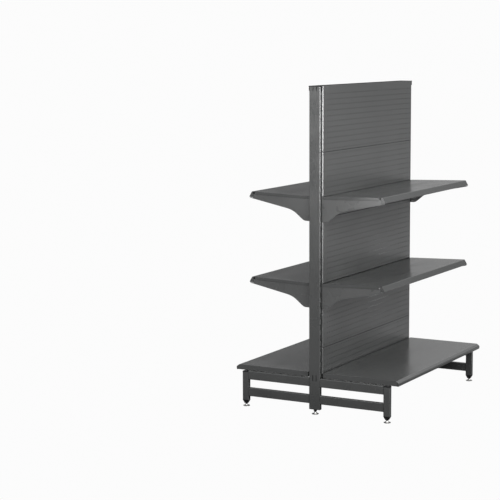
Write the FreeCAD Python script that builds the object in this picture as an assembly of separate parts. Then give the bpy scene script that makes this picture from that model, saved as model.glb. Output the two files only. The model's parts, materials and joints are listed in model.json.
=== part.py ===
import FreeCAD, Part
import math
import os

from FreeCAD import Vector

# Double-sided gondola shelving unit: one bay with a perforated back, two base decks and four upper shelves.
# Millimetres. X runs along the bay, Y through its depth and Z up. The origin is on the floor, in the middle.
# "near" is the -X end, "far" is +X, "front" is -Y and "rear" is +Y. Every piece is drawn at the near front
# and mirrored to the other ends and sides.

# Whole unit
BAY_LENGTH = 1000.0          # centre to centre of the uprights
UPRIGHT_WIDTH = 20.0         # along the bay
UPRIGHT_DEPTH = 56.0         # through the unit
UPRIGHT_BOTTOM = 24.0
UPRIGHT_TOP = 1508.0
UPRIGHT_WALL = 1.5
UPRIGHT_CORNER = 2.5
HALF_LENGTH = (BAY_LENGTH + UPRIGHT_WIDTH) / 2
FACE = UPRIGHT_DEPTH / 2     # distance of the slotted face from the middle of the unit
PLUG_CLEARANCE = 0.1         # between a plastic plug and the tube it fills
PLUG_CORNER = 1.5

# Upright caps
CAP_HEAD = 4.0               # thickness of the head
CAP_OVERHANG = 4.0           # past the slotted faces
CAP_EDGE = 1.2
CAP_SKIRT_HEIGHT = 18.0
CAP_SKIRT_END = 15.0         # from the end of the unit
CAP_SKIRT_SETBACK = 1.0      # from the edge of the head
CAP_PLUG_DEPTH = 6.0

# Slots for hooks
SLOT_PITCH = 50.0
FIRST_SLOT = 60.0
SLOT_COUNT = 30
SLOT_HEIGHT = 28.0
SLOT_WIDTH = 5.5
SLOT_COLUMN_OFFSET = 4.5     # of each of the two columns from the middle of the upright
BEAM_SLOT_SPACING = 17.0
BEAM_SLOT_WIDTH = 4.0
HOOK_THICKNESS = 2.0
HOOK_REACH = 3.0             # thickness of the lug behind the wall
HOOK_GAP = 0.3               # between the wall and the lug
SMALL_HOOK = (10.0, 6.0)     # neck height and drop, on panels and beams
FRAME_NECK = 12.0
BRACKET_HOOK = (11.0, 8.0)

# Cross beams between the uprights: name, bottom and top of the beam, bottom and top of its slots
BEAM_DEPTH = 30.0
BEAM_WALL = 1.5
END_PLATE = 3.0
BEAMS = [
    ("bottom_cross_beam", 150.0, 190.0, 156.0, 184.0),
    ("top_cross_beam", 1462.0, 1502.0, 1488.0, 1505.0),
]

# Perforated back panels: name, bottom, top, and the slots that hold their tabs
PANEL_EDGE = 15.7            # from the end of the unit to the panel's side
PANEL_PROUD = 7.0            # how far the panel stands out from the upright
PANEL_SHEET = 0.8
PANEL_BEND = 5.0             # outside radius of the upright edges
PANEL_LIP_BEND = 1.5         # outside radius of the top and bottom edges
PANEL_GAP = 0.5              # half of the gap between stacked panels
HOLE_PITCH = 25.0
HOLE_RADIUS = 3.0
HOLE_COLUMNS = 19            # on each side of the middle column
LAST_HOLE_ROW = 1475.0
PANELS = [
    ("top", 1212.5, 1512.5, (1360.0, 1460.0)),
    ("upper_middle", 912.5, 1212.5, (1060.0, 1160.0)),
    ("middle", 612.5, 912.5, (760.0, 860.0)),
    ("lower_middle", 312.5, 612.5, (360.0, 460.0)),
    ("bottom", 187.5, 312.5, (210.0, 260.0)),
]

# Base frames
RAIL_HEIGHT = 40.0
TOP_RAIL_BOTTOM = 129.5
LOWER_RAIL_BOTTOM = 49.5
LEG_INNER = 349.0            # distances from the middle of the unit
LEG_OUTER = 381.0
LEG_BOTTOM = 30.0
LEG_TOP = 164.0
FRAME_WALL = 1.5
FRAME_CORNER = 2.5
FRAME_HOOK_LENGTH = 30.0
TOP_RAIL_SLOT = 160.0
LOWER_RAIL_SLOT = 60.0
LEG_PLUG_HEAD = 5.0
LEG_PLUG_ROUND = 4.0         # on its outer corner
LEG_PLUG_STEM = 12.0

# Levelling feet
STUD_RADIUS = 5.0
STUD_TOP = 64.0
STUD_CHAMFER = 0.8
BORE_CLEARANCE = 0.05
SOCKET_BOTTOM = 4.0
PAD_OUTLINE = [(0.0, 0.0), (15.4, 0.0), (16.0, 0.6), (16.0, 2.6), (14.5, 3.4), (9.0, 5.0),
               (7.0, 7.6), (6.4, 8.4)]   # radius and height
FLATS_WIDTH = 8.6            # across the stud's wrench flats
FLATS = (9.2, 12.8)          # bottom and top of the flats
INSERT_BOTTOM = 13.0
INSERT_TOP = 50.0
INSERT_TIP = 6.8             # half of its width at the bottom
INSERT_PLATE = 2.0           # under an upright
INSERT_INSET = 1.0           # of that plate from the upright's faces
INSERT_CONE = 8.5            # radius under that plate

# Sheet trays: upper shelves and base decks, measured from the middle of the unit
TRAY_EDGE = 12.2             # from the end of the unit to the tray's side flange
SHELF_SHEET = 0.9
SHELF_SLOPE = 0.031          # rise per millimetre towards the front
SHELF_LEVELS = [("upper", 1010.0), ("lower", 610.0)]
SHELF = dict(rear=37.5, rear_flange=12.0, corner=333.0,
             nose=[(15.0, 26.0), (4.0, 27.5)], bends=[1.8, 4.0, 2.2],
             side_cuts=[(0.0, 318.0, 13.0), (318.0, 327.0, SHELF_SHEET)])
DECK_TOP = 195.0
DECK_DEPTH = 24.0            # of the deck's side and rear flanges
DECK = dict(rear=38.5, rear_flange=DECK_DEPTH, corner=406.0,
            nose=[(14.0, 11.0), (12.5, 25.0), (2.5, DECK_DEPTH)], bends=[1.8, 9.0, 6.0, 2.2],
            side_cuts=[(412.5, 414.0, 9.0)])
NOSE_TAB = (409.0, 419.0)    # folded in behind that cut, with both ends measured out from the middle
DECK_TABS = (68.0, 176.0, 284.0)
DECK_TAB_LENGTH = 10.0
STIFFENER_END = 30.0         # from the end of the unit
STIFFENER_STEPS = (9.0, 15.0, 26.0)    # half widths of its crown, its foot and its flange
STIFFENER_BEND = 2.0
SHELF_STIFFENER = (180.0, 10.0)        # distance out and height
DECK_STIFFENER = (215.0, 16.0)
FLANGE_NOTCH = (13.1, 16.0, 1.8)       # from, to and depth of the rear flange's notch for a bracket

# Shelf brackets, measured from the upright's face and down from the top of the shelf
BRACKET_PLATE = 2.0
BRACKET_EDGE = 13.2          # from the end of the unit to the plate
BRACKET_GAP = 0.3            # between the bracket and the upright
SEAT_GAP = 0.1               # between the bracket and the shelf
SEAT_END = 289.5             # where the bracket steps down behind the shelf's nose
STEP_DROP = 11.0
NOSE_REACH = 300.0
BEAK_DROP = 28.9             # of the beak under the shelf's lip
BEAK_TIP = 317.5
TAPER_START = (316.0, 30.6)
TAPER_END = (126.0, 63.2)
SWEEP = [(82.0, 78.0), (57.0, 96.5), (41.0, 108.5)]
HEEL = (21.0, 114.5)
BRACKET_ROUNDS = [5.0, 1.0, 1.5, 1.5, 1.5, 0.6, 0.5]   # from the heel up, out along the seat and round the beak
SEAT_WIDTH = 14.0
SEAT_FLANGE = (11.0, 277.5)            # reach of its two ends
BRACKET_SLOTS = (0.0, -50.0, -100.0)   # slots it hooks into, from the shelf's level


def box(x, y, z):
    """A box from three (low, high) ranges."""
    return Part.makeBox(x[1] - x[0], y[1] - y[0], z[1] - z[0], Vector(x[0], y[0], z[0]))


def rounded_bar(x, y, z, axis, radius):
    """A box whose four edges along the axis are rounded."""
    bar = box(x, y, z)
    edges = [e for e in bar.Edges if abs(e.tangentAt(e.FirstParameter).dot(axis)) > 0.99]
    return bar.makeFillet(radius, edges)


def tube(x, y, z, axis, wall, radius):
    """A rectangular tube along the axis, open at both ends."""
    inner = []
    for span, along in zip((x, y, z), axis):
        inner.append((span[0] - 1, span[1] + 1) if along else (span[0] + wall, span[1] - wall))
    return rounded_bar(x, y, z, axis, radius).cut(rounded_bar(*inner, axis, radius - wall))


def near_x(inset):
    """The X of a plane at this distance in from the near end."""
    return inset - HALF_LENGTH


def near_span(low, high):
    return (near_x(low), near_x(high))


def front(low, high):
    """The Y range between two distances out on the front side."""
    return (-high, -low)


def rounded_path(points, radii):
    """Edges along 2-D points in the (distance out, height) plane, with an arc at each inner point."""
    def place(p):
        return Vector(0, -p[0], p[1])

    edges = []
    start = points[0]
    for before, corner, after, radius in zip(points, points[1:], points[2:], radii):
        to_corner = (corner[0] - before[0], corner[1] - before[1])
        from_corner = (after[0] - corner[0], after[1] - corner[1])
        one = [c / math.hypot(*to_corner) for c in to_corner]
        two = [c / math.hypot(*from_corner) for c in from_corner]
        turn = math.acos(one[0] * two[0] + one[1] * two[1])
        reach = radius * math.tan(turn / 2)
        first = (corner[0] - one[0] * reach, corner[1] - one[1] * reach)
        last = (corner[0] + two[0] * reach, corner[1] + two[1] * reach)
        bisector = (two[0] - one[0], two[1] - one[1])
        length = math.hypot(*bisector)
        rise = radius / math.cos(turn / 2) - radius
        middle = (corner[0] + bisector[0] / length * rise, corner[1] + bisector[1] / length * rise)
        edges.append(Part.LineSegment(place(start), place(first)).toShape())
        edges.append(Part.Arc(place(first), place(middle), place(last)).toShape())
        start = last
    edges.append(Part.LineSegment(place(start), place(points[-1])).toShape())
    return edges


def offset_points(points, distance):
    """The points moved sideways, to the right of the direction of travel."""
    normals = []
    for a, b in zip(points, points[1:]):
        length = math.hypot(b[0] - a[0], b[1] - a[1])
        normals.append(((b[1] - a[1]) / length, -(b[0] - a[0]) / length))
    moved = []
    for i, point in enumerate(points):
        one = normals[max(i - 1, 0)]
        two = normals[min(i, len(normals) - 1)]
        scale = distance / (1 + one[0] * two[0] + one[1] * two[1])
        moved.append((point[0] + (one[0] + two[0]) * scale, point[1] + (one[1] + two[1]) * scale))
    return moved


def bent_sheet(points, outside_radii, thickness, x):
    """A bent sheet along X. The points are its outer line, and the sheet lies to their right."""
    inner_points = offset_points(points, thickness)
    outer_radii = []
    inner_radii = []
    for i, radius in enumerate(outside_radii):
        a, b, c = points[i:i + 3]
        turns_right = (b[0] - a[0]) * (c[1] - b[1]) - (b[1] - a[1]) * (c[0] - b[0]) < 0
        outer_radii.append(radius if turns_right else radius - thickness)
        inner_radii.append(radius - thickness if turns_right else radius)
    outer = rounded_path(points, outer_radii)
    inner = rounded_path(inner_points, inner_radii)
    ends = [
        Part.LineSegment(outer[0].Vertexes[0].Point, inner[0].Vertexes[0].Point).toShape(),
        Part.LineSegment(outer[-1].Vertexes[-1].Point, inner[-1].Vertexes[-1].Point).toShape(),
    ]
    return extrude_along_x(outer + inner + ends, x)


def extrude_along_x(edges, x):
    """A solid from a closed loop of edges drawn at X = 0."""
    section = Part.Face(Part.Wire(Part.__sortEdges__(edges)))
    section.translate(Vector(x[0], 0, 0))
    return section.extrude(Vector(x[1] - x[0], 0, 0))


def plate(points, x):
    """A flat plate across X from 2-D corner points."""
    corners = [Vector(0, -p[0], p[1]) for p in points]
    return extrude_along_x(Part.makePolygon(corners + corners[:1]).Edges, x)


def mirrored(shape, far, rear):
    """A near front shape moved to another end or side."""
    if far:
        shape = shape.mirror(Vector(0, 0, 0), Vector(1, 0, 0))
    if rear:
        shape = shape.mirror(Vector(0, 0, 0), Vector(0, 1, 0))
    return shape


def both_ends(shape):
    return [shape, mirrored(shape, True, False)]


def export(name, *shapes):
    shape = shapes[0] if len(shapes) == 1 else Part.makeCompound(list(shapes))
    shape.exportStep("parts/" + name + ".step")


ENDS = (("near", False), ("far", True))
SIDES = (("front", False), ("rear", True))
ALONG_X, ALONG_Y, ALONG_Z = Vector(1, 0, 0), Vector(0, 1, 0), Vector(0, 0, 1)
COLUMNS = (UPRIGHT_WIDTH / 2 - SLOT_COLUMN_OFFSET, UPRIGHT_WIDTH / 2 + SLOT_COLUMN_OFFSET)


def slot_hook(x, slot, size):
    """A hook through the upright's front wall, resting on the bottom edge of a slot."""
    neck_height, drop = size
    bottom = slot - SLOT_HEIGHT / 2
    behind = FACE - UPRIGHT_WALL - HOOK_GAP
    neck = box(x, front(behind - HOOK_REACH, FACE + BRACKET_GAP), (bottom, bottom + neck_height))
    lug = box(x, front(behind - HOOK_REACH, behind), (bottom - drop, bottom + neck_height))
    return neck.fuse(lug)


# Uprights

def make_upright():
    y = (-FACE, FACE)
    upright = tube(near_span(0, UPRIGHT_WIDTH), y, (UPRIGHT_BOTTOM, UPRIGHT_TOP), ALONG_Z,
                   UPRIGHT_WALL, UPRIGHT_CORNER)
    cuts = []
    for column in COLUMNS:
        x = near_span(column - SLOT_WIDTH / 2, column + SLOT_WIDTH / 2)
        for i in range(SLOT_COUNT):
            slot = FIRST_SLOT + i * SLOT_PITCH
            cuts.append(box(x, (-FACE - 1, FACE + 1), (slot - SLOT_HEIGHT / 2, slot + SLOT_HEIGHT / 2)))
    for _, _, _, low, high in BEAMS:
        for middle in (-BEAM_SLOT_SPACING / 2, BEAM_SLOT_SPACING / 2):
            y = (middle - BEAM_SLOT_WIDTH / 2, middle + BEAM_SLOT_WIDTH / 2)
            cuts.append(box(near_span(-1, UPRIGHT_WIDTH + 1), y, (low, high)))
    return upright.cut(Part.makeCompound(cuts))


def plug(x, y, z, wall):
    """A plastic plug inside a tube that has these outer faces."""
    gap = wall + PLUG_CLEARANCE
    return rounded_bar((x[0] + gap, x[1] - gap), (y[0] + gap, y[1] - gap), z, ALONG_Z, PLUG_CORNER)


def make_upright_cap():
    x = near_span(0, UPRIGHT_WIDTH)
    top = UPRIGHT_TOP + CAP_HEAD
    reach = FACE + CAP_OVERHANG
    head = rounded_bar(x, (-reach, reach), (UPRIGHT_TOP, top), ALONG_Z, UPRIGHT_CORNER)
    head = head.makeFillet(CAP_EDGE, [e for e in head.Edges if e.BoundBox.ZMin > top - 0.01])
    panel_side = box(near_span(CAP_SKIRT_END, UPRIGHT_WIDTH), front(FACE, reach), (UPRIGHT_TOP, top))
    head = head.cut([panel_side, mirrored(panel_side, False, True)])
    skirt = box(near_span(UPRIGHT_CORNER, CAP_SKIRT_END), front(FACE, reach - CAP_SKIRT_SETBACK),
                (UPRIGHT_TOP - CAP_SKIRT_HEIGHT, UPRIGHT_TOP))
    stem = plug(x, (-FACE, FACE), (UPRIGHT_TOP - CAP_PLUG_DEPTH, UPRIGHT_TOP), UPRIGHT_WALL)
    return head.fuse([skirt, mirrored(skirt, False, True), stem]).removeSplitter()


def make_beam(bottom, top, slot_bottom):
    end = BAY_LENGTH / 2 - UPRIGHT_WIDTH / 2 - HOOK_GAP
    y = (-BEAM_DEPTH / 2, BEAM_DEPTH / 2)
    body = tube((END_PLATE - end, end - END_PLATE), y, (bottom, top), ALONG_X, BEAM_WALL, FRAME_CORNER)
    end_plate = box((-end, END_PLATE - end), y, (bottom, top))
    neck_height, drop = SMALL_HOOK
    neck_top = slot_bottom + neck_height
    behind = -end - HOOK_GAP - UPRIGHT_WALL - HOOK_GAP
    for middle in (-BEAM_SLOT_SPACING / 2, BEAM_SLOT_SPACING / 2):
        y = (middle - HOOK_THICKNESS / 2, middle + HOOK_THICKNESS / 2)
        neck = box((behind - HOOK_REACH, -end), y, (slot_bottom, neck_top))
        lug = box((behind - HOOK_REACH, behind), y, (slot_bottom - drop, neck_top))
        end_plate = end_plate.fuse([neck, lug])
    return body.fuse(both_ends(end_plate)).removeSplitter()


# Perforated back panels

def make_panel(panel_bottom, top, tab_slots):
    half = HALF_LENGTH - PANEL_EDGE
    low = panel_bottom + PANEL_GAP
    high = top - PANEL_GAP

    def shell(inset, bend, lip_bend, back):
        outside = -FACE - PANEL_PROUD + inset
        body = box((inset - half, half - inset), (outside, back), (low + inset, high - inset))
        upright_edges = [e for e in body.Edges if e.Length > 50 and e.BoundBox.YMax < outside + 0.01
                         and e.BoundBox.XLength < 0.01]
        body = body.makeFillet(bend, upright_edges)
        rim = [e for e in body.Edges if e.BoundBox.ZLength < 0.01 and e.BoundBox.YMin < back - 0.01]
        return body.makeFillet(lip_bend, rim)

    tray = shell(0, PANEL_BEND, PANEL_LIP_BEND, -FACE)
    tray = tray.cut(shell(PANEL_SHEET, PANEL_BEND - PANEL_SHEET, PANEL_LIP_BEND - PANEL_SHEET, 1 - FACE))

    outside = -FACE - PANEL_PROUD
    holes = []
    row = math.ceil((panel_bottom + 1) / HOLE_PITCH) * HOLE_PITCH
    while row < min(top, LAST_HOLE_ROW + 1):
        for column in range(-HOLE_COLUMNS, HOLE_COLUMNS + 1):
            start = Vector(column * HOLE_PITCH, outside - 1, row)
            holes.append(Part.makeCylinder(HOLE_RADIUS, PANEL_SHEET + 2, start, ALONG_Y))
        row += HOLE_PITCH
    tray = tray.cut(Part.makeCompound(holes))

    tabs = []
    x = near_span(PANEL_EDGE, PANEL_EDGE + PANEL_SHEET)
    for slot in tab_slots:
        hook = slot_hook(x, slot, SMALL_HOOK)
        bottom = slot - SLOT_HEIGHT / 2
        root = box(x, front(FACE, FACE + 1), (bottom, bottom + SMALL_HOOK[0]))
        tabs += both_ends(hook.fuse(root))
    return tray.fuse(tabs)


# Base frames

def frame_hooks(rail_bottom, slot, drop):
    """Two hook plates welded inside the end of a rail."""
    plates = []
    for column in COLUMNS:
        x = near_span(column - HOOK_THICKNESS / 2, column + HOOK_THICKNESS / 2)
        blade = box(x, front(FACE, FACE + FRAME_HOOK_LENGTH),
                    (rail_bottom + FRAME_WALL, rail_bottom + RAIL_HEIGHT - FRAME_WALL))
        bottom = max(slot - SLOT_HEIGHT / 2, rail_bottom + FRAME_WALL)
        behind = FACE - UPRIGHT_WALL - HOOK_GAP
        neck = box(x, front(behind - HOOK_REACH, FACE + 1), (bottom, bottom + FRAME_NECK))
        lug = box(x, front(behind - HOOK_REACH, behind), (bottom - drop, bottom + FRAME_NECK))
        plates.append(blade.fuse([neck, lug]).removeSplitter())
    return plates


def make_base_frame():
    x = near_span(0, UPRIGHT_WIDTH)
    rails = []
    for bottom in (TOP_RAIL_BOTTOM, LOWER_RAIL_BOTTOM):
        rails.append(tube(x, front(FACE, LEG_INNER), (bottom, bottom + RAIL_HEIGHT), ALONG_Y,
                          FRAME_WALL, FRAME_CORNER))
    leg = tube(x, front(LEG_INNER, LEG_OUTER), (LEG_BOTTOM, LEG_TOP), ALONG_Z, FRAME_WALL, FRAME_CORNER)
    return (rails + [leg] + frame_hooks(TOP_RAIL_BOTTOM, TOP_RAIL_SLOT, SMALL_HOOK[1])
            + frame_hooks(LOWER_RAIL_BOTTOM, LOWER_RAIL_SLOT, 0.0))


def make_leg_plug():
    """A black plug on top of a leg, with its outer corner rounded."""
    x = near_span(0, UPRIGHT_WIDTH)
    y = front(LEG_INNER, LEG_OUTER)
    head = box(x, y, (LEG_TOP, LEG_TOP + LEG_PLUG_HEAD))
    outer = [e for e in head.Edges if e.BoundBox.YMax < -LEG_OUTER + 0.01 and e.BoundBox.ZMin > LEG_TOP + 1]
    head = head.makeFillet(LEG_PLUG_ROUND, outer)
    return head.fuse(plug(x, y, (LEG_TOP - LEG_PLUG_STEM, LEG_TOP), FRAME_WALL))


# Levelling feet

def foot_places():
    """Name, X and Y of the six feet."""
    x = BAY_LENGTH / 2
    y = (LEG_INNER + LEG_OUTER) / 2
    return [(end + "_" + side, x * sign, y * out)
            for end, sign in (("near", -1), ("far", 1))
            for side, out in (("front", -1), ("middle", 0), ("rear", 1))]


def make_pad():
    """A pad with a blind socket that the stud turns in."""
    bore = STUD_RADIUS + BORE_CLEARANCE
    outline = PAD_OUTLINE + [(bore, PAD_OUTLINE[-1][1]), (bore, SOCKET_BOTTOM), (0, SOCKET_BOTTOM)]
    corners = [Vector(r, 0, z) for r, z in outline]
    return Part.Face(Part.makePolygon(corners + corners[:1])).revolve(Vector(0, 0, 0), ALONG_Z, 360)


def make_stud():
    """A stud with a short hexagonal neck for a wrench."""
    def length(low, high):
        return Part.makeCylinder(STUD_RADIUS, high - low, Vector(0, 0, low))

    def ends(shape, z):
        return [e for e in shape.Edges if abs(e.BoundBox.ZMin - z) < 0.01 and e.BoundBox.ZLength < 0.01]

    bottom = SOCKET_BOTTOM + BORE_CLEARANCE
    lower = length(bottom, FLATS[0])
    lower = lower.makeChamfer(STUD_CHAMFER, ends(lower, bottom))
    upper = length(FLATS[1], STUD_TOP)
    upper = upper.makeChamfer(STUD_CHAMFER, ends(upper, STUD_TOP))
    radius = FLATS_WIDTH / math.sqrt(3)
    turns = [math.radians(60 * i) for i in range(7)]
    hexagon = Part.makePolygon([Vector(radius * math.cos(a), radius * math.sin(a), FLATS[0]) for a in turns])
    neck = Part.Face(hexagon).extrude(Vector(0, 0, FLATS[1] - FLATS[0]))
    return lower.fuse([neck, upper])


def make_insert(depth, tube_bottom, wall):
    """A plug with a bore for the stud: a funnel under a leg, or a plate and a cone under an upright."""
    x = (-UPRIGHT_WIDTH / 2, UPRIGHT_WIDTH / 2)
    y = (-depth / 2, depth / 2)
    body = plug(x, y, (tube_bottom, INSERT_TOP), wall)
    if tube_bottom == LEG_BOTTOM:
        top = Part.makePolygon([Vector(a, b, tube_bottom) for a, b in rectangle(x[1], y[1])])
        low = Part.makePolygon([Vector(a, b, INSERT_BOTTOM) for a, b in rectangle(INSERT_TIP, INSERT_TIP)])
        head = [Part.makeLoft([low, top], True, True)]
    else:
        under = tube_bottom - INSERT_PLATE
        head = [box((x[0] + INSERT_INSET, x[1] - INSERT_INSET), (y[0] + INSERT_INSET, y[1] - INSERT_INSET),
                    (under, tube_bottom)),
                Part.makeCone(INSERT_TIP, INSERT_CONE, under - INSERT_BOTTOM, Vector(0, 0, INSERT_BOTTOM))]
    bore = Part.makeCylinder(STUD_RADIUS + BORE_CLEARANCE, INSERT_TOP, Vector(0, 0, INSERT_BOTTOM - 1))
    return body.fuse(head).cut(bore).removeSplitter()


def rectangle(half_x, half_y):
    return [(-half_x, -half_y), (half_x, -half_y), (half_x, half_y), (-half_x, half_y), (-half_x, -half_y)]


# Sheet trays

def tray_line(top, slope, rear, rear_flange, corner, nose):
    """The outer line of a tray's bent sheet, from its rear flange to the end of its nose."""
    line = [(rear, rear_flange), (rear, 0), (corner, 0)] + [(corner + out, drop) for out, drop in nose]
    return [(out, top + slope * (out - FACE) - drop) for out, drop in line]


def end_outline(top, slope, x, rear, rear_flange, corner, nose, bends, side_cuts=()):
    """A plate that closes the end of a tray."""
    outline = rounded_path(tray_line(top, slope, rear, rear_flange, corner, nose), bends)
    closing = Part.LineSegment(outline[-1].Vertexes[-1].Point, outline[0].Vertexes[0].Point).toShape()
    return extrude_along_x(outline + [closing], x)


def make_tray(top, slope, rear, rear_flange, corner, nose, bends, side_cuts):
    """A shelf or deck: a bent sheet with a rear flange and a nose, and side flanges with cuts in them."""
    def at(out, drop):
        return (out, top + slope * (out - FACE) - drop)

    outer = tray_line(top, slope, rear, rear_flange, corner, nose)
    sheet = bent_sheet(outer, bends, SHELF_SHEET, (TRAY_EDGE - HALF_LENGTH, HALF_LENGTH - TRAY_EDGE))

    edge = near_span(TRAY_EDGE, TRAY_EDGE + SHELF_SHEET)
    side = end_outline(top, slope, edge, rear, rear_flange, corner, nose, bends)
    below = 2 * max(drop for _, drop in nose)
    for start, end, drop in side_cuts:
        side = side.cut(plate([at(start, drop), at(end, drop), at(end, below), at(start, below)], edge))
    return sheet.fuse(both_ends(side))


def make_shelf(level):
    """A tray whose rear flange is notched for the brackets."""
    shelf = make_tray(level, SHELF_SLOPE, **SHELF)
    start, end, depth = FLANGE_NOTCH
    rear = SHELF["rear"]
    top = level + SHELF_SLOPE * (rear - FACE) - SHELF_SHEET
    notch = box(near_span(start, end), front(rear - 1, rear + depth), (top - 2 * SHELF["rear_flange"], top))
    return shelf.cut(both_ends(notch)).removeSplitter()


def make_deck():
    deck = make_tray(DECK_TOP, 0.0, **DECK)
    low = TOP_RAIL_BOTTOM + RAIL_HEIGHT
    behind = near_span(TRAY_EDGE + SHELF_SHEET, TRAY_EDGE + 2 * SHELF_SHEET)
    nose = box(behind, front(*NOSE_TAB), (DECK_TOP - DECK_DEPTH, DECK_TOP))
    tabs = both_ends(nose.common(end_outline(DECK_TOP, 0.0, behind, **DECK)))
    for start in DECK_TABS:
        tab = box(near_span(TRAY_EDGE, TRAY_EDGE + SHELF_SHEET), front(start, start + DECK_TAB_LENGTH),
                  (low, DECK_TOP - DECK_DEPTH + 1))
        tabs += both_ends(tab)
    return deck.fuse(tabs).removeSplitter()


def make_stiffener(top, slope, place):
    """A hat-section rib under a tray."""
    middle, height = place

    def at(out, drop):
        return (middle + out, top + slope * (middle + out - FACE) - drop)

    crown, foot, flange = STIFFENER_STEPS
    under = SHELF_SHEET
    line = [at(-flange, under), at(-foot, under), at(-crown, under + height),
            at(crown, under + height), at(foot, under), at(flange, under)]
    x = (STIFFENER_END - HALF_LENGTH, HALF_LENGTH - STIFFENER_END)
    return bent_sheet(line, [STIFFENER_BEND] * 4, SHELF_SHEET, x)


# Shelf brackets

def make_bracket(level):
    def at(reach, drop):
        return (FACE + reach, level + SHELF_SLOPE * reach - drop)

    def point(p):
        return Vector(0, -p[0], p[1])

    seat = SHELF_SHEET + SEAT_GAP
    heel = at(*HEEL)
    back_corner = at(BRACKET_GAP, HEEL[1])
    taper = [at(*TAPER_START), at(*TAPER_END)]
    lead_in = point(taper[1]) - point(taper[0])
    sweep = Part.BSplineCurve()
    sweep_points = [point(taper[1])] + [point(at(*p)) for p in SWEEP] + [point(heel)]
    along_heel = Vector(0, 1, -SHELF_SLOPE)
    sweep.interpolate(Points=sweep_points, InitialTangent=lead_in.normalize(), FinalTangent=along_heel)
    rest = [heel, back_corner, at(BRACKET_GAP, seat), at(SEAT_END, seat), at(SEAT_END, STEP_DROP),
            at(NOSE_REACH, STEP_DROP), at(NOSE_REACH, BEAK_DROP), at(BEAK_TIP, BEAK_DROP), taper[0]]
    edges = rounded_path(rest, BRACKET_ROUNDS)
    edges.append(Part.LineSegment(point(taper[0]), point(taper[1])).toShape())
    edges.append(sweep.toShape())
    x = near_span(BRACKET_EDGE, BRACKET_EDGE + BRACKET_PLATE)
    blade = extrude_along_x(edges, x)

    start, end = SEAT_FLANGE
    under = seat + BRACKET_PLATE
    flange = plate([at(start, seat), at(end, seat), at(end, under), at(start, under)],
                   near_span(BRACKET_EDGE, BRACKET_EDGE + SEAT_WIDTH))
    hooks = [slot_hook(x, level + offset, BRACKET_HOOK) for offset in BRACKET_SLOTS]
    return blade.fuse([flange] + hooks).removeSplitter()


# Build every node

os.makedirs("parts", exist_ok=True)

upright = make_upright()
cap = make_upright_cap()
frame = make_base_frame()
for end, far in ENDS:
    export("upright_" + end, mirrored(upright, far, False))
    export("upright_cap_" + end, mirrored(cap, far, False))
    for side, rear in SIDES:
        export("base_frame_" + end + "_" + side, *[mirrored(piece, far, rear) for piece in frame])

for name, bottom, top, slot_bottom, _ in BEAMS:
    export(name, make_beam(bottom, top, slot_bottom))

for name, bottom, top, tab_slots in PANELS:
    panel = make_panel(bottom, top, tab_slots)
    for side, rear in SIDES:
        export("back_panel_" + side + "_" + name, mirrored(panel, False, rear))

leg_plug = make_leg_plug()
export("leg_top_plugs", *[mirrored(leg_plug, far, rear) for _, far in ENDS for _, rear in SIDES])

pad = make_pad()
stud = make_stud()
leg_insert = make_insert(LEG_OUTER - LEG_INNER, LEG_BOTTOM, FRAME_WALL)
upright_insert = make_insert(UPRIGHT_DEPTH, UPRIGHT_BOTTOM, UPRIGHT_WALL)
inserts = []
for name, x, y in foot_places():
    place = Vector(x, y, 0)
    export("foot_pad_" + name, pad.translated(place))
    export("foot_stud_" + name, stud.translated(place))
    inserts.append((leg_insert if y else upright_insert).translated(place))
export("foot_inserts", *inserts)

deck = make_deck()
deck_stiffener = make_stiffener(DECK_TOP, 0.0, DECK_STIFFENER)
for side, rear in SIDES:
    export("base_deck_" + side, mirrored(deck, False, rear))
    export("base_deck_stiffener_" + side, mirrored(deck_stiffener, False, rear))

for level_name, level in SHELF_LEVELS:
    shelf = make_shelf(level)
    stiffener = make_stiffener(level, SHELF_SLOPE, SHELF_STIFFENER)
    bracket = make_bracket(level)
    for side, rear in SIDES:
        export(level_name + "_shelf_" + side, mirrored(shelf, False, rear))
        export(level_name + "_shelf_stiffener_" + side, mirrored(stiffener, False, rear))
        for end, far in ENDS:
            export(level_name + "_bracket_" + side + "_" + end, mirrored(bracket, far, rear))
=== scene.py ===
import bpy
import json
import math
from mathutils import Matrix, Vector


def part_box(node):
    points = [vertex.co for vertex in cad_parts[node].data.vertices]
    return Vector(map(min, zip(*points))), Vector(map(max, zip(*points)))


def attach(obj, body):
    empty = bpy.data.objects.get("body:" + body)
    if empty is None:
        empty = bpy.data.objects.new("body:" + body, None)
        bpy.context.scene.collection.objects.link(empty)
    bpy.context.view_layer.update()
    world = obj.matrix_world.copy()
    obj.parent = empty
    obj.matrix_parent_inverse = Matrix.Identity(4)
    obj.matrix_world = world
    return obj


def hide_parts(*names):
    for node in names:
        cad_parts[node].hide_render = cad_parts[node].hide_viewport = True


# A double-sided store gondola in charcoal powder coat. The CAD nodes give its shape; this script
# gives them their finishes, adds weld beads, spot welds and threaded studs, and sets the studio.
# Metres, in the CAD's frame.

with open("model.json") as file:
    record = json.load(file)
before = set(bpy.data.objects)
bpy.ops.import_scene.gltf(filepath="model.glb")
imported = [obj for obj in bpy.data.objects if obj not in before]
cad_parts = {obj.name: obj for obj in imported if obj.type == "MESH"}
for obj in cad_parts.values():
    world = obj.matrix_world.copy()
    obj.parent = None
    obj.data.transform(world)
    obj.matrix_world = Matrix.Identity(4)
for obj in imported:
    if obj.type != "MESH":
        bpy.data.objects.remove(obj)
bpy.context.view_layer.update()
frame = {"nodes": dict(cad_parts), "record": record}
MM = 0.001
UP = Vector((0, 0, 1))
ALONG_BAY = Vector((1, 0, 0))
ENDS = ("near", "far")
SIDES = ("front", "rear")
LEVELS = ("upper", "lower")
FEET = [end + "_" + side for end in ENDS for side in ("front", "middle", "rear")]


# Materials

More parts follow.
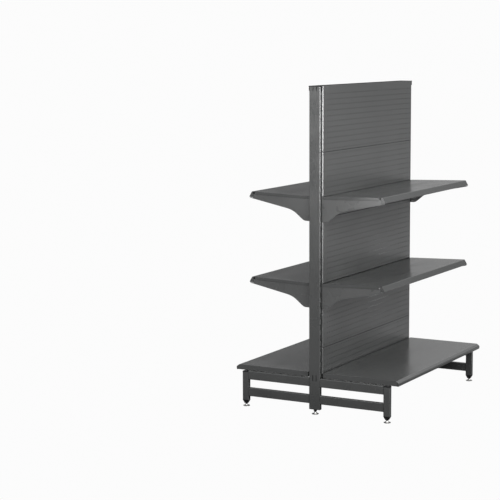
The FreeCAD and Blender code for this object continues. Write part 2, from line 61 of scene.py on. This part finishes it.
CHARCOAL = (0.070, 0.072, 0.071)
BRACKET_CHARCOAL = (0.088, 0.090, 0.089)
BLACK = (0.010, 0.010, 0.011)
DUST = (0.36, 0.35, 0.33, 1.0)
ZINC_BLUISH = (0.20, 0.203, 0.211, 1.0)
ZINC_YELLOWISH = (0.27, 0.266, 0.251, 1.0)
ZINC_STAIN = (0.15, 0.147, 0.142, 1.0)


class Graph:
    """A material's node tree, with short calls for its nodes. A value is a number or a socket."""

    def __init__(self, name):
        self.material = bpy.data.materials.new(name)
        self.material.use_nodes = True
        self.nodes = self.material.node_tree.nodes
        self.links = self.material.node_tree.links
        self.nodes.clear()
        self.shader = self.nodes.new("ShaderNodeBsdfPrincipled")
        output = self.nodes.new("ShaderNodeOutputMaterial")
        self.links.new(self.shader.outputs[0], output.inputs[0])
        self.position = self.nodes.new("ShaderNodeTexCoord").outputs["Object"]

    def put(self, socket, value):
        if isinstance(value, bpy.types.NodeSocket):
            self.links.new(value, socket)
        else:
            socket.default_value = value

    def math(self, operation, a, b, clamp=False):
        node = self.nodes.new("ShaderNodeMath")
        node.operation = operation
        node.use_clamp = clamp
        self.put(node.inputs[0], a)
        self.put(node.inputs[1], b)
        return node.outputs[0]

    def remap(self, value, low, high, to_low=0.0, to_high=1.0):
        node = self.nodes.new("ShaderNodeMapRange")
        node.interpolation_type = "SMOOTHSTEP"
        for socket, number in zip(node.inputs, (value, low, high, to_low, to_high)):
            self.put(socket, number)
        return node.outputs[0]

    def noise(self, size, detail, stretch=(1.0, 1.0, 1.0), offset=0.0):
        """Noise whose features are about this many metres across, stretched along X, Y and Z."""
        mapping = self.nodes.new("ShaderNodeMapping")
        mapping.inputs["Location"].default_value = (offset, offset, offset)
        mapping.inputs["Scale"].default_value = [1.0 / s for s in stretch]
        self.put(mapping.inputs["Vector"], self.position)
        node = self.nodes.new("ShaderNodeTexNoise")
        node.inputs["Scale"].default_value = 1.0 / size
        node.inputs["Detail"].default_value = detail
        self.put(node.inputs["Vector"], mapping.outputs[0])
        return node.outputs["Fac"]

    def mix(self, factor, a, b):
        node = self.nodes.new("ShaderNodeMix")
        node.data_type = "RGBA"
        self.put(node.inputs["Factor"], factor)
        self.put(node.inputs["A"], a)
        self.put(node.inputs["B"], b)
        return node.outputs["Result"]

    def edge_wear(self, width, amount):
        """How worn a point is: high on the object's edges, in patches."""
        bevel = self.nodes.new("ShaderNodeBevel")
        bevel.samples = 4
        bevel.inputs["Radius"].default_value = width
        geometry = self.nodes.new("ShaderNodeNewGeometry")
        dot = self.nodes.new("ShaderNodeVectorMath")
        dot.operation = "DOT_PRODUCT"
        self.links.new(bevel.outputs[0], dot.inputs[0])
        self.links.new(geometry.outputs["Normal"], dot.inputs[1])
        edge = self.remap(dot.outputs["Value"], 0.99, 0.80)
        patches = self.remap(self.noise(0.018, 4.0, offset=3.0), 0.40, 0.66)
        return self.math("MULTIPLY", self.math("MULTIPLY", edge, patches), amount)

    def painted_recess_shade(self, distance, low, high):
        """Painted shade: 1 on open surfaces, falling to 0 in slots, holes and the seams between
        pieces.
        """
        node = self.nodes.new("ShaderNodeAmbientOcclusion")
        node.samples = 6
        node.inputs["Distance"].default_value = distance
        return self.remap(node.outputs["AO"], low, high)

    def upward(self):
        """1 on surfaces that face up."""
        geometry = self.nodes.new("ShaderNodeNewGeometry")
        split = self.nodes.new("ShaderNodeSeparateXYZ")
        self.links.new(geometry.outputs["Normal"], split.inputs[0])
        return self.remap(split.outputs["Z"], 0.6, 0.95)

    def bump(self, layers):
        """Bumps the surface by (height, depth in metres) layers, one on another."""
        normal = None
        for height, depth in layers:
            node = self.nodes.new("ShaderNodeBump")
            node.inputs["Strength"].default_value = 1.0
            node.inputs["Distance"].default_value = depth
            self.put(node.inputs["Height"], height)
            if normal:
                self.put(node.inputs["Normal"], normal)
            normal = node.outputs[0]
        self.put(self.shader.inputs["Normal"], normal)


def shade(color, factor):
    return (color[0] * factor, color[1] * factor, color[2] * factor, 1.0)


def powder_coat(name, color, roughness, dust=0.0):
    """Baked powder paint: orange peel, faint blotches, rubbed edges, a trace of dust on top, and
    painted shade in slots, holes and seams.
    """
    g = Graph(name)
    inputs = g.shader.inputs
    blotches = g.remap(g.noise(0.22, 4.0), 0.30, 0.70)
    specks = g.remap(g.noise(0.0016, 2.0, offset=7.0), 0.35, 0.65)
    base = g.mix(blotches, shade(color, 0.93), shade(color, 1.05))
    base = g.mix(g.math("MULTIPLY", specks, 0.35), base, shade(color, 1.16))
    rubbed = g.edge_wear(0.9 * MM, 0.45)
    base = g.mix(rubbed, base, shade(color, 2.3))
    drifts = g.remap(g.noise(0.05, 5.0, offset=11.0), 0.35, 0.75, 0.0, dust)
    settled = g.math("MULTIPLY", g.upward(), drifts)
    base = g.mix(settled, base, DUST)
    # Painted shade: in slots, holes and the seams between pieces the colour darkens to 0.12 of the
    # paint's and the specular level falls to nothing.
    clear_of_painted_shade = g.painted_recess_shade(5 * MM, 0.60, 0.93)
    g.put(inputs["Base Color"], g.mix(clear_of_painted_shade, shade(color, 0.12), base))
    g.put(inputs["Specular IOR Level"], g.math("MULTIPLY", clear_of_painted_shade, 0.5))

    smears = g.noise(0.09, 3.0, stretch=(3.0, 1.0, 1.0), offset=5.0)
    smears = g.remap(smears, 0.30, 0.75, -0.035, 0.05)
    rough = g.math("ADD", smears, roughness)
    rough = g.math("ADD", rough, g.math("MULTIPLY", settled, 1.2))
    rough = g.math("ADD", rough, g.math("MULTIPLY", rubbed, -0.1), clamp=True)
    g.put(inputs["Roughness"], rough)
    inputs["IOR"].default_value = 1.5
    orange_peel, fine_grain = g.noise(0.0035, 2.0), g.noise(0.0011, 2.0, offset=2.0)
    g.bump([(orange_peel, 0.012 * MM), (fine_grain, 0.004 * MM)])
    return g.material


def moulded_plastic(name, color):
    """Black plastic with a fine spark-eroded grain, scuffed grey on its edges."""
    g = Graph(name)
    inputs = g.shader.inputs
    cloud = g.remap(g.noise(0.03, 3.0), 0.35, 0.65)
    base = g.mix(cloud, shade(color, 0.85), shade(color, 1.2))
    rubbed = g.edge_wear(0.7 * MM, 0.5)
    g.put(inputs["Base Color"], g.mix(rubbed, base, shade(color, 4.0)))
    handled = g.noise(0.012, 3.0, offset=4.0)
    g.put(inputs["Roughness"], g.remap(handled, 0.3, 0.7, 0.55, 0.70))
    inputs["IOR"].default_value = 1.49
    inputs["Specular IOR Level"].default_value = 0.10
    g.bump([(g.noise(0.0006, 2.0), 0.02 * MM)])
    return g.material


def zinc_plate(name):
    """Passivated zinc plating: bluish and yellowish clouding, fine turning marks and scuffs."""
    g = Graph(name)
    inputs = g.shader.inputs
    cloud = g.remap(g.noise(0.007, 4.0), 0.35, 0.65)
    base = g.mix(cloud, ZINC_BLUISH, ZINC_YELLOWISH)
    stains = g.remap(g.noise(0.003, 5.0, offset=9.0), 0.55, 0.75, 0.0, 0.5)
    g.put(inputs["Base Color"], g.mix(stains, base, ZINC_STAIN))
    inputs["Metallic"].default_value = 1.0
    scuffs = g.noise(0.004, 3.0, offset=1.0)
    g.put(inputs["Roughness"], g.remap(scuffs, 0.3, 0.7, 0.38, 0.52))
    turning = g.noise(0.0007, 1.0, stretch=(8.0, 8.0, 1.0))
    dents = g.noise(0.0022, 3.0, offset=6.0)
    g.bump([(turning, 0.012 * MM), (dents, 0.02 * MM)])
    return g.material


finishes = {
    "frame_paint": powder_coat("frame_coat", CHARCOAL, 0.30),
    "panel_paint": powder_coat("panel_coat", CHARCOAL, 0.33),
    "shelf_paint": powder_coat("shelf_coat", CHARCOAL, 0.20, dust=0.02),
    "bracket_paint": powder_coat("bracket_coat", BRACKET_CHARCOAL, 0.29),
    "black_plastic": moulded_plastic("black_plastic", BLACK),
    "zinc": zinc_plate("zinc_plate"),
}
for subpart in frame["record"]["subparts"]:
    node = frame["nodes"][subpart["node"]]
    node.data.materials.clear()
    node.data.materials.append(finishes[subpart["material_slot"]])


# Added pieces

SMOOTH_BELOW = math.radians(35)


def make_piece(name, vertices, faces, body, slot):
    mesh = bpy.data.meshes.new(name)
    mesh.from_pydata(vertices, [], faces)
    mesh.validate()
    piece = bpy.data.objects.new(name, mesh)
    bpy.context.scene.collection.objects.link(piece)
    mesh.materials.append(finishes[slot])
    mesh.shade_smooth()
    mesh.set_sharp_from_angle(angle=SMOOTH_BELOW)
    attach(piece, body)
    return piece


def add_loops(vertices, faces, loops):
    """Joins rings of points with quads, and closes both ends with a face."""
    first = len(vertices)
    count = len(loops[0])
    last = first + (len(loops) - 1) * count
    for loop in loops:
        vertices.extend(loop)
    for a in range(first, last, count):
        b = a + count
        for j in range(count):
            k = (j + 1) % count
            faces.append((a + j, a + k, b + k, b + j))
    faces.append(tuple(first + j for j in reversed(range(count))))
    faces.append(tuple(last + j for j in range(count)))


RING_POINTS = 48
STUD_RADIUS = 4.95 * MM
STUD_END_RADIUS = 4.2 * MM
STUD_END_CHAMFER = 0.8 * MM
HEX_BOTTOM = 5.15 * MM       # of the wrench flats, above the stud's lower end
HEX_TOP = 8.75 * MM
HEX_HALF_FLATS = 4.3 * MM
HEX_CORNERS = 4.85 * MM      # turned off at this radius
HEX_CHAMFERED = 4.4 * MM     # radius of the corners at the hexagon's ends
HEX_CHAMFER = 0.3 * MM
THREAD_PITCH = 1.5 * MM
THREAD_ROOT = 4.15 * MM
THREAD_CREST = 4.97 * MM
THREAD_BED = THREAD_ROOT - 0.3 * MM     # where the ridge ends, inside the core
THREAD_TIP = 0.6 * MM        # chamfer at the stud's top
THREAD_STEPS = 28            # around one turn


def threaded_stud(name):
    """A levelling stud in place of its plain CAD solid: a turned end, wrench flats, a thread."""
    low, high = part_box(name)
    centre = (low + high) / 2
    hex_low, hex_high = low.z + HEX_BOTTOM, low.z + HEX_TOP
    vertices, faces = [], []

    def spot(angle, radius, z):
        """A point at this angle and distance from the stud's axis."""
        from_axis = Vector((math.cos(angle) * radius, math.sin(angle) * radius, z))
        return centre.xy.to_3d() + from_axis

    def ring(radius, z, corners=0.0):
        """A round ring, or a hexagon of this half width with its corners turned off."""
        points = []
        for i in range(RING_POINTS):
            angle = 2 * math.pi * i / RING_POINTS
            flat = radius / math.cos((angle + math.pi / 6) % (math.pi / 3) - math.pi / 6)
            points.append(spot(angle, min(flat, corners) if corners else radius, z))
        return points

    add_loops(vertices, faces, [ring(STUD_END_RADIUS, low.z),
                                ring(STUD_RADIUS, low.z + STUD_END_CHAMFER),
                                ring(STUD_RADIUS, hex_low - 0.4 * MM),
                                ring(HEX_HALF_FLATS, hex_low)])
    add_loops(vertices, faces, [ring(HEX_HALF_FLATS, hex_low - 0.1 * MM, HEX_CHAMFERED),
                                ring(HEX_HALF_FLATS, hex_low + HEX_CHAMFER, HEX_CORNERS),
                                ring(HEX_HALF_FLATS, hex_high - HEX_CHAMFER, HEX_CORNERS),
                                ring(HEX_HALF_FLATS, hex_high, HEX_CHAMFERED)])
    add_loops(vertices, faces, [ring(THREAD_ROOT, hex_high - 0.5 * MM),
                                ring(THREAD_ROOT, high.z - THREAD_TIP),
                                ring(THREAD_ROOT - THREAD_TIP, high.z)])

    ridge = []
    start, end = hex_high - 0.2 * MM, high.z - 2.2 * MM
    count = int((end - start) / THREAD_PITCH * THREAD_STEPS)
    for i in range(count + 1):
        angle = 2 * math.pi * i / THREAD_STEPS
        z = start + THREAD_PITCH * i / THREAD_STEPS
        fade = min(1.0, i / THREAD_STEPS, (count - i) / THREAD_STEPS)
        crest = THREAD_ROOT + (THREAD_CREST - THREAD_ROOT) * fade
        section = ((THREAD_BED, 0.02), (crest, 0.42), (crest, 0.58), (THREAD_BED, 0.98))
        ridge.append([spot(angle, r, z + t * THREAD_PITCH) for r, t in section])
    add_loops(vertices, faces, ridge)
    stud = make_piece("threaded_" + name[5:], vertices, faces, name, "zinc")
    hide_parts(name)


for foot in FEET:
    threaded_stud("foot_stud_" + foot)


WELD_LEG = 2.4 * MM
WELD_STEP = 0.35 * MM        # from one ring of a bead to the next
WELD_RIPPLE = 1.7 * MM       # from one ripple to the next
WELD_ARC_POINTS = 7
LEG_DEPTH = 32 * MM
TUBE_CORNER = 3 * MM
# How far below the top of its frame each weld runs, and which way that face of the rail looks
RAIL_SEAMS = ((40 * MM, -1), (80 * MM, 1), (120 * MM, -1))


def ripple_bead(vertices, faces, start, end, one, two, leg):
    """A rippled fillet weld from start to end, in the corner between the directions one and two."""
    along = end - start
    steps = max(12, int(along.length / WELD_STEP))
    loops = []
    for i in range(steps + 1):
        t = i / steps
        swell = 1 + 0.10 * math.sin(2 * math.pi * along.length * t / WELD_RIPPLE)
        taper = math.sqrt(max(0.0, 1 - (2 * t - 1) ** 8)) * 0.9 + 0.1
        size = leg * swell * taper
        spot = start + along * t
        loop = [spot - one * 0.3 * MM - two * 0.3 * MM]
        for k in range(WELD_ARC_POINTS):
            angle = math.pi / 2 * k / (WELD_ARC_POINTS - 1)
            loop.append(spot + (one * math.cos(angle) + two * math.sin(angle)) * size * 0.86
                        - (one + two) * 0.1 * MM)
        loops.append(loop)
    add_loops(vertices, faces, loops)


def frame_welds(end, side):
    """Fillet welds across the rails where they meet the leg."""
    low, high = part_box("base_frame_" + end + "_" + side)
    if side == "front":
        seam, inward = low.y + LEG_DEPTH, Vector((0, 1, 0))
    else:
        seam, inward = high.y - LEG_DEPTH, Vector((0, -1, 0))
    vertices, faces = [], []
    for drop, looks in RAIL_SEAMS:
        start = Vector((low.x + TUBE_CORNER, seam, high.z - drop))
        stop = Vector((high.x - TUBE_CORNER, seam, high.z - drop))
        ripple_bead(vertices, faces, start, stop, inward, UP * looks, WELD_LEG)
    make_piece("frame_welds_" + end + "_" + side, vertices, faces, "stand", "frame_paint")


for end in ENDS:
    for side in SIDES:
        frame_welds(end, side)


SPOT_ROW = 5.5 * MM          # from the edge of the flange
SPOT_INSET = 24 * MM         # from the ends of the stiffener
SPOT_SPACING = 76 * MM
SPOT_POINTS = 20
SPOT_PROFILE = ((3.3, -0.1), (3.2, 0.10), (2.7, 0.22),
                (2.3, 0.10), (1.2, 0.05), (0.2, 0.06))     # radius and height, mm
RAY_START = 0.01             # below the stiffener


def spot_welds(stiffener, body):
    """Rows of shallow spot-weld marks along both flanges of a stiffener."""
    low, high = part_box(stiffener)
    node = frame["nodes"][stiffener]
    run = high.x - low.x - 2 * SPOT_INSET
    count = round(run / SPOT_SPACING)
    turn = [2 * math.pi * k / SPOT_POINTS for k in range(SPOT_POINTS)]
    vertices, faces = [], []
    for y in (low.y + SPOT_ROW, high.y - SPOT_ROW):
        for i in range(count + 1):
            x = low.x + SPOT_INSET + run * i / count
            found, place, normal, _ = node.ray_cast(Vector((x, y, low.z - RAY_START)), UP)
            if not found:
                continue
            across = Vector((0, normal.z, -normal.y)).normalized()
            around = [ALONG_BAY * math.cos(a) + across * math.sin(a) for a in turn]
            loops = []
            for radius, height in SPOT_PROFILE:
                middle = place + normal * height * MM
                loops.append([middle + way * radius * MM for way in around])
            add_loops(vertices, faces, loops)
    make_piece(stiffener + "_spot_welds", vertices, faces, body, "shelf_paint")


for side in SIDES:
    spot_welds("base_deck_stiffener_" + side, "base_deck_" + side)
    for level in LEVELS:
        spot_welds(level + "_shelf_stiffener_" + side, level + "_shelf_" + side)


# Studio

STUDIO_WHITE = 0.972
FLOOR_RADIUS = 40.0
BACKDROP_RADIUS = 60.0
SHADE_RADIUS = 1.15          # of the dark disc under the unit, painted shade of the floor, that takes the unit's shadow in place of the floor
SHADE_HEIGHT = 0.0005
SHADE_DIFFUSE = 0.12
DISC_POINTS = 96


def emitting(name, strength, diffuse=0.0):
    material = bpy.data.materials.new(name)
    material.use_nodes = True
    shader = material.node_tree.nodes["Principled BSDF"]
    shader.inputs["Base Color"].default_value = (diffuse, diffuse, diffuse, 1.0)
    shader.inputs["Roughness"].default_value = 0.9
    shader.inputs["Specular IOR Level"].default_value = 0.0
    shader.inputs["Emission Color"].default_value = (1, 1, 1, 1)
    shader.inputs["Emission Strength"].default_value = strength
    return material


def only_camera_sees(thing):
    for ray in ("diffuse", "glossy", "transmission", "volume_scatter", "shadow"):
        setattr(thing, "visible_" + ray, False)


def just_added(name, material):
    """The object that an operator has just added, named and given its material."""
    thing = bpy.context.object
    thing.name = name
    thing.data.materials.append(material)
    return thing


def disc(name, radius, height, material):
    bpy.ops.mesh.primitive_circle_add(vertices=DISC_POINTS, radius=radius, fill_type="NGON",
                                      location=(0, 0, height))
    return just_added(name, material)


floor = disc("floor", FLOOR_RADIUS, 0, emitting("pale_floor", STUDIO_WHITE))
only_camera_sees(floor)
bpy.ops.mesh.primitive_uv_sphere_add(segments=64, ring_count=32, radius=BACKDROP_RADIUS,
                                     location=(0, 0, 0))
backdrop = just_added("backdrop", emitting("white_backdrop", STUDIO_WHITE))
only_camera_sees(backdrop)
# Painted shade: a dark grey disc under the unit, hidden from the camera, so reflections and bounce
# light meet a shaded floor there while the camera sees the even white floor.
contact_shade = disc("contact_shade", SHADE_RADIUS, SHADE_HEIGHT,
                     emitting("floor_in_shade", 0.0, diffuse=SHADE_DIFFUSE))
contact_shade.visible_camera = False

# Radiance of the sky by height, from 0 straight down to 1 straight up
SKY = [(0.0, 0.20), (0.36, 0.45), (0.46, 0.70), (0.51, 0.12), (0.60, 0.16), (0.75, 0.95),
       (1.0, 1.60)]

world = bpy.data.worlds.new("studio")
bpy.context.scene.world = world
world.use_nodes = True
tree = world.node_tree
direction = tree.nodes.new("ShaderNodeTexCoord").outputs["Generated"]
split = tree.nodes.new("ShaderNodeSeparateXYZ")
tree.links.new(direction, split.inputs[0])
height = tree.nodes.new("ShaderNodeMapRange")
height.inputs["From Min"].default_value = -1.0
height.inputs["From Max"].default_value = 1.0
tree.links.new(split.outputs["Z"], height.inputs["Value"])
ramp = tree.nodes.new("ShaderNodeValToRGB")
tree.links.new(height.outputs[0], ramp.inputs["Fac"])
for i, (place, level) in enumerate(SKY):
    stop = ramp.color_ramp.elements[i] if i < 2 else ramp.color_ramp.elements.new(place)
    stop.position = place
    stop.color = (level, level, level * 1.01, 1.0)
background = tree.nodes["Background"]
tree.links.new(ramp.outputs["Color"], background.inputs["Color"])
background.inputs["Strength"].default_value = 1.0


def softbox(name, azimuth, distance, low, high, width, radiance, aim, mirrored_only=False):
    """A soft rectangular light round the unit, facing its axis at the height aim.

    Azimuth 0 is in front and -90 at the near end. A mirrored_only light shows in gloss alone.
    """
    light = bpy.data.lights.new(name, "AREA")
    light.shape = "RECTANGLE"
    light.size = width
    light.size_y = high - low
    light.energy = radiance * math.pi * width * (high - low)
    lamp = bpy.data.objects.new(name, light)
    bpy.context.scene.collection.objects.link(lamp)
    a = math.radians(azimuth)
    lamp.location = (math.sin(a) * distance, -math.cos(a) * distance, (low + high) / 2)
    toward = Vector((0, 0, aim)) - lamp.location
    lamp.rotation_euler = toward.to_track_quat("-Z", "Y").to_euler()
    lamp.visible_camera = False
    lamp.visible_diffuse = not mirrored_only


softbox("key", -29, 3.2, 0.9, 3.1, 0.9, 9.0, aim=1.6)
softbox("left_fill", -112, 3.5, 0.8, 3.0, 1.6, 0.7, aim=1.4)
softbox("rear_fill", 160, 4.5, 1.0, 3.4, 2.0, 1.2, aim=1.2)
softbox("edge_light", -33, 3.0, 0.85, 3.2, 6.2, 19.0, aim=2.0, mirrored_only=True)
softbox("end_light", -72, 1.5, 0.9, 2.7, 1.64, 9.0, aim=1.8, mirrored_only=True)
softbox("far_glow", 99, 3.2, 0.2, 1.9, 1.9, 0.27, aim=1.05, mirrored_only=True)

# Camera, at the photograph's viewing angle
CAMERA_LENS = 113.53
CAMERA_SHIFT = (-0.10, -0.03)
CAMERA_PLACE = (-6.8544, -3.2505, 1.7232)
CAMERA_DOWN = 7.1            # degrees below level
CAMERA_HEADING = -62.34      # degrees

camera_data = bpy.data.cameras.new("camera")
camera_data.sensor_width = 36.0
camera_data.lens = CAMERA_LENS
camera_data.shift_x, camera_data.shift_y = CAMERA_SHIFT
camera = bpy.data.objects.new("camera", camera_data)
bpy.context.scene.collection.objects.link(camera)
camera.location = CAMERA_PLACE
camera.rotation_euler = (math.radians(90 - CAMERA_DOWN), 0, math.radians(CAMERA_HEADING))
bpy.context.scene.camera = camera
bpy.context.scene.view_settings.view_transform = "Standard"
